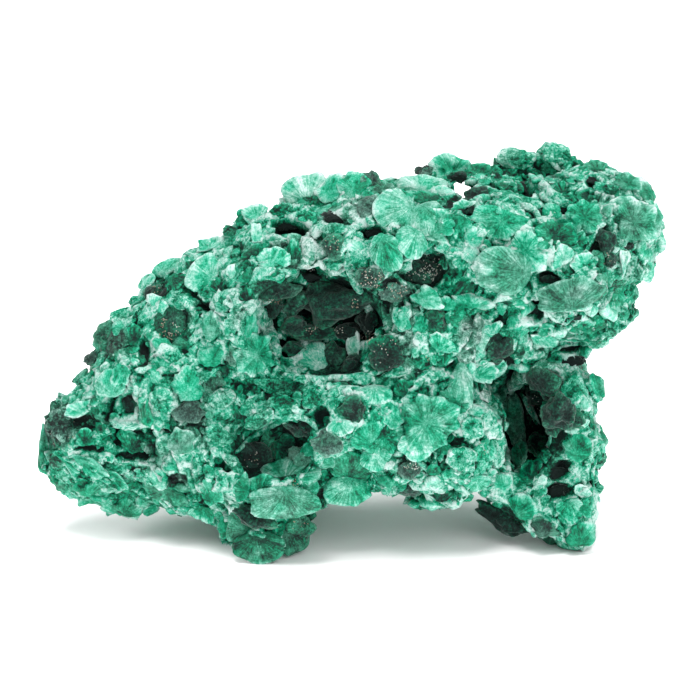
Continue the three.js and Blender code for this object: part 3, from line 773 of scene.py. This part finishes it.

# ----------
# Broken plates: flat-faced chunks and ragged scabs, where crusts have snapped but are still
# fast to the stone. Their torn edges are pale, partly from wear and partly as painted highlight.

PLATES = (
    (-5.5, 23.6, 8, 2.2, -4, 0.36, 0.1), (-11, 22.2, 5, 2.4, 20, 0.38, 0.2),
    (-2.5, 19.2, 4.4, 2.6, 0, 0.6, 0.3), (-6.3, 15.6, 3.4, 5, 10, 0.82, 0.7),
    (-18.8, 18.9, 5.2, 2, -10, 0.24, 0.2), (-11, 16.7, 4, 1.8, 0, 0.5, 0.7),
    (-20.4, 7.2, 3.4, 3, 30, 0.62, 0.3), (-17.6, 8.2, 4, 2.4, -10, 0.66, 0.2),
    (-14.4, 5.2, 2.6, 4.4, 25, 0.68, 0.1), (-12.6, 1.4, 2.6, 4.4, 25, 0.66, 0.2),
    (-12, -5.8, 8, 3, -4, 0.34, 0.1), (-10.6, -8.6, 7, 3.4, 10, 0.42, 0.1),
    (-6, -8, 4, 3, 0, 0.44, 0.1), (-14.6, -11, 6, 3.6, 30, 0.5, 0.2), (8, -3.4, 8, 2.4, 6, 0.62, 0.1),
    (13.6, -4, 5, 3, 0, 0.7, 0.1), (1.6, -4.8, 5, 2.2, -6, 0.72, 0), (-7, -4.9, 5, 2, 0, 0.64, 0),
    (26.6, 9.4, 4, 3, 0, 0.6, 0.1), (33, 6.6, 5, 4, -35, 0.6, 0.4), (20.2, 3, 3.6, 6, -25, 0.56, 0.8),
    (18.6, -0.2, 3.6, 4, 0, 0.6, 0.8), (21.5, -7.2, 3.2, 2.8, 0, 0.78, 0.7),
    (27, -0.2, 2.2, 3.2, 0, 0.46, 0.3), (22, 25.2, 5, 2.4, -15, 0.6, 0.1),
    (28.6, 23.6, 5, 2.6, -20, 0.6, 0.1), (26.5, 30.4, 6.2, 4.4, 0, 0.54, 0.2),
    (29, 31, 2.8, 2.4, -40, 0.14, 0.7), (33.5, 31, 6, 5, 0, 0.62, 0.1),
    (11, 28.9, 5, 1.8, -5, 0.22, 0.7), (41.5, 25.5, 5, 3, -30, 0.4, 0.1),
    (-33.5, 8, 4, 3, 10, 0.66, 0), (-36.5, 5.6, 4, 3.6, 40, 0.6, 0.1),
    (-43.4, -4.4, 3.6, 4, 30, 0.5, 0.3), (-20.8, -8, 5, 4.4, 0, 0.64, 0.3),
    (-30.6, -8.2, 4.6, 4, 20, 0.5, 0.1), (-36, -12.1, 5, 1.8, 10, 0.84, 0),
    (-46, -12, 5, 6, 20, 0.26, 0.8), (-47, -17, 4, 4, 0, 0.4, 0.4), (-16, -9.6, 5, 4, 30, 0.56, 0.1),
    (-20.5, -14, 6, 4, -20, 0.5, 0.1), (-18.5, -18.5, 5, 3.6, -40, 0.52, 0.1),
    (22.4, -11.8, 3.2, 5, 5, 0.78, 0.1), (23.4, -16.4, 3.6, 6, 5, 0.74, 0.1),
    (19.6, -12.6, 3.6, 5, 0, 0.6, 0), (35.4, -6, 4, 5.6, 0, 0.5, 0.1), (18, -17.5, 5, 4, 0, 0.6, 0.1),
    (31.5, -17, 4, 3, -40, 0.44, 0.1), (28.6, -4.8, 4.2, 2, -10, 0.34, 0.1),
    (40, -17.6, 2.8, 4, 0, 0.46, 0.2), (46, 12.4, 3, 3, 0, 0.5, 0.3), (45, 9, 3.2, 4, 20, 0.5, 0.1),
    (43.4, 6, 3, 3, 0, 0.5, 0.1), (41.4, 2.8, 3.2, 2.6, 0, 0.48, 0.2),
)
shown_lobes("broken_plates", PLATES, 0.48, material=crusty, seed=44, facets=10, lump=0.1, ragged=0.14,
            rim=0.26, proud=0.15)

# ----------
# Pale ridges: thin crusts of fine fibres that run along the edges of the hollows and over
# the lobes, and weld them to the body.

# Width, height above the stone, how pale and how dusty, then the places it runs through.
RIDGES = (
    (2.7, 1.0, 0.72, 0.2, ((-22, 6.3), (-21.2, 8.2), (-18.5, 9), (-16, 7.6), (-14, 4.8), (-12.6, 1.6),
                           (-11.4, -1.4))),
    (1.3, 0.8, 0.74, 0.1, ((-11, -4), (-8, -4.6), (-4, -4.9), (0, -4.6), (3, -4), (6, -3))),
    (1.1, 0.8, 0.74, 0.1, ((21, 21.8), (22.2, 23.2), (24.2, 23.3), (26, 22), (27, 20.6))),
    (1.2, 0.7, 0.66, 0.1, ((20, 23.6), (22.4, 24.7), (25.6, 24.4), (28, 23.2), (30, 21.6), (31, 19.6))),
    (1.4, 0.9, 0.7, 0.2, ((-0.6, 15.4), (-0.2, 13), (1.2, 10.4), (2.6, 8.2), (3.4, 5.8), (3.8, 3.4))),
    (1, 0.6, 0.8, 0.5, ((-5, 14.2), (-3.8, 12.7), (-2, 12.3), (-0.6, 13.2))),
    (1.4, 0.8, 0.76, 0.1, ((23.2, -8.4), (22.8, -11), (23.9, -13.6), (24.8, -16.6), (25.4, -19.6))),
    (2.4, 1.8, 0.6, 0.4, ((23.4, -8), (25, -5.6), (27.6, -3.7), (30.6, -2.7), (33.2, -3.2),
                          (34.6, -5.2))),
    (0.8, 0.5, 0.46, 0, ((27.3, -6.8), (28.2, -8.6), (29.2, -10.2), (30, -12))),
    (0.8, 0.5, 0.95, 0.2, ((30, 9), (31.6, 9.4), (33.4, 10))),
    (1.2, 0.8, 0.84, 0, ((-34.8, -4.4), (-34, -6.6), (-33.8, -9), (-34.4, -11))),
    (1.1, 0.7, 0.66, 0, ((-13.6, 11.6), (-12, 11.4), (-10.2, 12.3), (-8.6, 12.6))),
    (1, 0.6, 0.5, 0.2, ((-20, -29.2), (-16.4, -29), (-13, -29.8), (-10.4, -31.4))),
    (1, 0.7, 0.7, 0, ((-46, -17), (-43, -18.4), (-40.4, -20), (-38, -21.4))),
    (1, 0.7, 0.62, 0, ((-42, -18.6), (-39.4, -19.4), (-37, -21))),
    (1, 0.6, 0.6, 0.1, ((-18.4, -16.6), (-15.6, -13.8), (-12.6, -12), (-9.4, -10.4), (-6.8, -11),
                        (-5, -13))),
    (0.8, 0.5, 0.84, 0.1, ((4, 13.2), (5.6, 12.7), (7.2, 13.8), (9.4, 14.9), (11.6, 16), (12.4, 17.4))),
    (0.9, 0.6, 0.7, 0.1, ((8.8, -17.2), (11, -17.8), (12.6, -19.4), (15, -20.6), (18, -22.2),
                          (21.6, -22.4))),
    (1, 0.6, 0.66, 0.1, ((46, 20.8), (47.2, 19.8), (47.8, 18.6))),
    (0.8, 0.5, 0.6, 0, ((32, -0.6), (34, 0.9), (36.4, 1.2), (38.6, 1))),
    (0.9, 0.6, 0.7, 0, ((35, 23.8), (33, 23.6), (31, 24.4), (29.6, 25.6))),
    (0.9, 0.6, 0.66, 0.1, ((35, 27.8), (33, 27.8), (31.4, 27.2), (30.2, 25.8))),
    (0.8, 0.5, 0.62, 0, ((-21, 2), (-19, 2.1), (-18, 1))),
    (0.9, 0.5, 0.7, 0, ((-24.8, 2.6), (-23.6, 3.4), (-21.6, 2.2))),
    (0.9, 0.6, 0.55, 0.1, ((-25, -17), (-24.6, -20), (-23, -23))),
    (1, 0.6, 0.5, 0.1, ((-26, -18.8), (-25.2, -21.6), (-24.6, -24))),
)
RIDGE_RINGS, RIDGE_SPOKES = 40, 12


def ridge_run(width, height, trail, salt):
    """A bar along its trail on the body, round in section and closed at both ends: its
    radius falls as the fourth root of a parabola, and noise frays it."""
    knots = np.array(trail, dtype=float)
    length = np.concatenate([[0], np.cumsum(np.hypot(*np.diff(knots, axis=0).T))])
    walked = np.linspace(0, length[-1], RIDGE_RINGS + 1)
    rows = np.zeros((RIDGE_RINGS + 1, 5))
    rows[:, 0], rows[:, 1] = (np.interp(walked, length, knots[:, k]) for k in (0, 1))
    places, axes = in_view(rows)
    for _ in range(6):
        places[1:-1] = (places[:-2] + 2 * places[1:-1] + places[2:]) / 4
    taken.append((places[::4], np.full(len(places[::4]), width * 1.8)))
    ahead = unit(np.gradient(places, axis=0))
    out = unit(axes[:, 2] - (axes[:, 2] * ahead).sum(axis=1, keepdims=True) * ahead)
    aside = np.cross(ahead, out)
    part = np.linspace(0, 1, RIDGE_RINGS + 1)[1:-1, None, None]
    around = (2 * np.pi * np.arange(RIDGE_SPOKES) / RIDGE_SPOKES)[None, :, None]
    spokes = np.cos(around) * aside[1:-1, None] * width / 2 + np.sin(around) * out[1:-1, None] * height
    spokes = (spokes * (4 * part * (1 - part)) ** 0.25).reshape(-1, 3)
    middles = np.repeat(places[1:-1], RIDGE_SPOKES, axis=0)
    stir = noise(middles + spokes, 0.9, salt)
    points = np.concatenate([places[:1], middles + spokes * (1 + 0.45 * stir[:, None]), places[-1:]])
    points[:, 2] = np.maximum(points[:, 2], 0)
    return points, np.concatenate([-ahead[:1], spokes, ahead[-1:]]), np.concatenate([[0], stir, [0]])


_, bar = globe(RIDGE_RINGS, RIDGE_SPOKES)
runs = [ridge_run(width, height, trail, 60 + k) for k, (width, height, *_, trail) in enumerate(RIDGES)]
many = len(runs[0][0])
points, rays, frayed = (np.concatenate(parts) for parts in zip(*runs))
tones = np.repeat([row[2:4] for row in RIDGES], many, axis=0)
new_piece("pale_ridges", points, np.concatenate([bar + many * k for k in range(len(runs))]), crusty,
          pale=np.clip(tones[:, 0] + 0.2 * frayed, 0, 1), dusty=tones[:, 1], ray=rays,
          luck=np.repeat(np.arange(len(runs)) / len(runs), many))

# ----------
# Growth all over the stone: lobes and fans packed side by side wherever the larger ones and
# the velvet leave room, on every side, with loose flakes between them.

# Name, how many may be tried, globe grid, largest and smallest width, depth as a share of the
# width, how far they lean, the finish and the shape.
FAN = {"root": 0.8, "flutes": 5, "flute_height": 0.12, "cup": 0.25, "rim": 0.22, "lump": 0.35,
       "ragged": 0.14, "facets": 3}
GROWTHS = (
    ("large_fans", 260, (10, 20), 7.0, 5.4, 0.5, 0.25, silky, {**FAN, "flutes": 9, "proud": -0.75}),
    ("middling_fans", 1500, (5, 12), 5.2, 3.2, 0.5, 0.3, silky, {**FAN, "proud": -0.65}),
    ("small_kidneys", 1800, (4, 9), 3.4, 1.6, 0.6, 0.4, crusty,
     {"root": 0.5, "rim": 0.2, "lump": 0.3, "ragged": 0.1, "facets": 3, "proud": -0.4}),
    ("small_fans", 5000, (4, 10), 3.2, 1.2, 0.45, 0.4, silky,
     {"root": 0.8, "flutes": 5, "flute_height": 0.16, "cup": 0.5, "rim": 0.3, "facets": 4,
      "proud": -0.25}),
)
# How close two growths stand, as a share of the sum of their widths.
CLOSENESS = 0.28
# What growth keeps clear of: place across and up, and width.
KEPT_CLEAR = ((18.1, 25.9, 12), (19.4, 25.4, 12), (28.4, -8, 17), (28.6, -12, 17), (28.4, -16, 15),
              (12, 29, 5), (23, 31, 4), (-46.4, -6.4, 5))
FLAKES = 500


def scattered(count, rng, chance, lean):
    """Places on the body picked by area and chance, axes that lean, and the body's tones."""
    quads = skin[skin_faces]
    area = np.linalg.norm(np.cross(quads[:, 2] - quads[:, 0], quads[:, 3] - quads[:, 1]), axis=1)
    weight = area * chance[skin_faces].mean(axis=1)
    picked = rng.choice(len(skin_faces), count, p=weight / weight.sum())
    outward = broad[skin_faces[picked]].mean(axis=1) + lean * rng.normal(size=(count, 3)) * 0.6
    tones = [field[skin_faces[picked]].mean(axis=1) for field in (pale, dusty)]
    return stood(quads[picked].mean(axis=1), outward, rng.uniform(0, 6.3, count)), tones


above = np.clip((skin[:, 2] - 0.4) / 1.5, 0, 1)
clear = np.array([(across, up, 0, 0, 0, wide) for across, up, wide in KEPT_CLEAR])
taken.append((in_view(clear)[0], clear[:, 5]))
crowd, reach = [np.concatenate(column) for column in zip(*taken)]
for k, (name, tries, grid, large, small, depth, lean, material, form) in enumerate(GROWTHS):
    rng = np.random.default_rng(50 + k)
    (places, axes), (tone, dust) = scattered(tries, rng, above * (1 - velvet) ** 2, lean)
    width = large + (small - large) * (np.arange(tries) / tries) ** 0.6
    kept = []
    for one, place in enumerate(places):
        if (np.linalg.norm(crowd - place, axis=1) > CLOSENESS * (reach + width[one])).all():
            kept.append(one)
            crowd, reach = np.concatenate([crowd, place[None]]), np.append(reach, width[one])
    width = width[kept]
    sizes = np.stack([width, width * rng.uniform(0.65, 1.1, len(kept)), width * depth], axis=1) / 2
    tone = tone[kept] + rng.normal(size=len(kept)) * 0.06
    lobes(name, grid, (places[kept], axes[kept]), sizes, (tone, dust[kept]), material, 60 + k, **form)
rng = np.random.default_rng(58)
stand, (tone, dust) = scattered(FLAKES, rng, above * (1 - 0.93 * velvet), 0.7)
width = 0.6 + 1.4 * rng.random(FLAKES) ** 2
sizes = np.stack([width, width * rng.uniform(0.35, 1.1, FLAKES), width * 0.25], axis=1) / 2
lobes("flakes", (4, 6), stand, sizes, (tone + rng.normal(size=FLAKES) * 0.16 + 0.06, dust), silky, 59,
      facets=5, lump=0.3, rim=0.24, smooth=False, proud=0.6)

# ----------
# Grains: tan specks of dust, and white specks that are painted glints. They lie caught in the
# velvet and in a few cracks, on whatever shows there.

# Place across and up, half width, half height of each sprinkling, how many, and how tan.
SPRINKLINGS = (
    (12.3, 12.2, 1.8, 1.4, 60, 0.2), (13.5, 14, 1.8, 2, 30, 0.3), (9.8, 12, 0.8, 0.8, 10, 0.2),
    (3.4, 11.3, 1.9, 1.6, 50, 0.6), (7.2, 9.6, 2, 1.5, 30, 0.6), (-29.8, 4.5, 0.6, 1, 12, 1),
    (-29.2, 2.3, 1.4, 0.8, 22, 1), (-27.6, 3.4, 1.2, 2, 16, 0.4), (-31, 9.5, 1, 1, 8, 0.9),
    (0.8, 7.4, 0.6, 0.9, 16, 0.8), (-12.4, 7.8, 1.6, 0.5, 14, 0.8), (-6.3, 3.4, 1.2, 1, 18, 0.7),
    (-2, 3.2, 1.2, 0.6, 14, 0.7), (2.8, 2.2, 1.2, 0.9, 30, 0.5), (6, 1, 1.6, 1, 8, 0.4),
    (-6.2, 13, 1.2, 0.6, 10, 0.6), (-2.6, 17, 1.6, 1.2, 16, 0.6), (10, -18.6, 1.4, 0.6, 26, 0.1),
    (5.5, -1, 2, 2, 6, 0.3), (-16, -17.4, 1.6, 1.6, 12, 0.5), (-46, -13, 2.4, 3, 26, 0.9),
    (-8, -29, 2, 2, 10, 0.9), (-8.5, -21.2, 1.2, 0.5, 8, 1), (12, -1.4, 1, 0.5, 8, 1),
    (22, -15, 1.4, 2, 10, 0.8), (41.4, 14.5, 1.2, 1.4, 12, 0.6), (29.4, -9.6, 1, 2.4, 20, 0.1),
)
GRAIN_SIZES = (0.10, 0.28)
# Tan for the dust, white for the painted glints.
GLINT_WHITE, TAN = (0.50, 0.56, 0.52, 1), (0.34, 0.26, 0.18, 1)

specks = Finish("pale_grains")
speckle = specks.noise(0.3, 2.0, specks.node("TexCoord", output="Object"))
share = (specks.attribute("dusty") + speckle - 0.5).clamped()
colour = specks.node("Mix", {"data_type": "RGBA"}, {0: share, 6: GLINT_WHITE, 7: TAN}, output=2)
specks.feed(specks.shader, {"Base Color": colour, "Roughness": 0.6})

rng = np.random.default_rng(90)
rows = []
for across, up, half_width, half_height, count, tan_share in SPRINKLINGS:
    angle, reach = rng.uniform(0, 6.3, count), np.sqrt(rng.random(count))
    rows.append(np.stack([
        across + half_width * reach * np.cos(angle), up + half_height * reach * np.sin(angle),
        *rng.uniform(*GRAIN_SIZES, (2, count)), rng.uniform(0, 360, count), np.full(count, 0.5),
        np.clip(tan_share + rng.normal(size=count) * 0.3, 0, 1),
    ], axis=1))
rows = np.concatenate(rows)
surface, corners = skin.tolist(), skin_faces.tolist()
for name in ("velvet_lobes", "hollow_lobes"):
    mesh = bpy.data.objects[name].data
    corners += [[c + len(surface) for c in polygon.vertices] for polygon in mesh.polygons]
    surface += [vertex.co / MM for vertex in mesh.vertices]
tree = BVHTree.FromPolygons(surface, corners)
sights = focus + rows[:, :1] * sideways + rows[:, 1:2] * upwards - eye
hits = [tree.ray_cast(eye, sight) for sight in sights]
found = [k for k, hit in enumerate(hits) if hit[0] is not None]
rows = rows[found]
places, outward = (np.array([hits[k][part] for k in found]) for part in (0, 1))
lobes("pale_grains", (3, 5), stood(places, outward, np.radians(rows[:, 4])),
      np.column_stack([rows[:, 2:4], rows[:, 2]]) / 2, rows[:, 5:7].T, specks.material, 91, smooth=False)
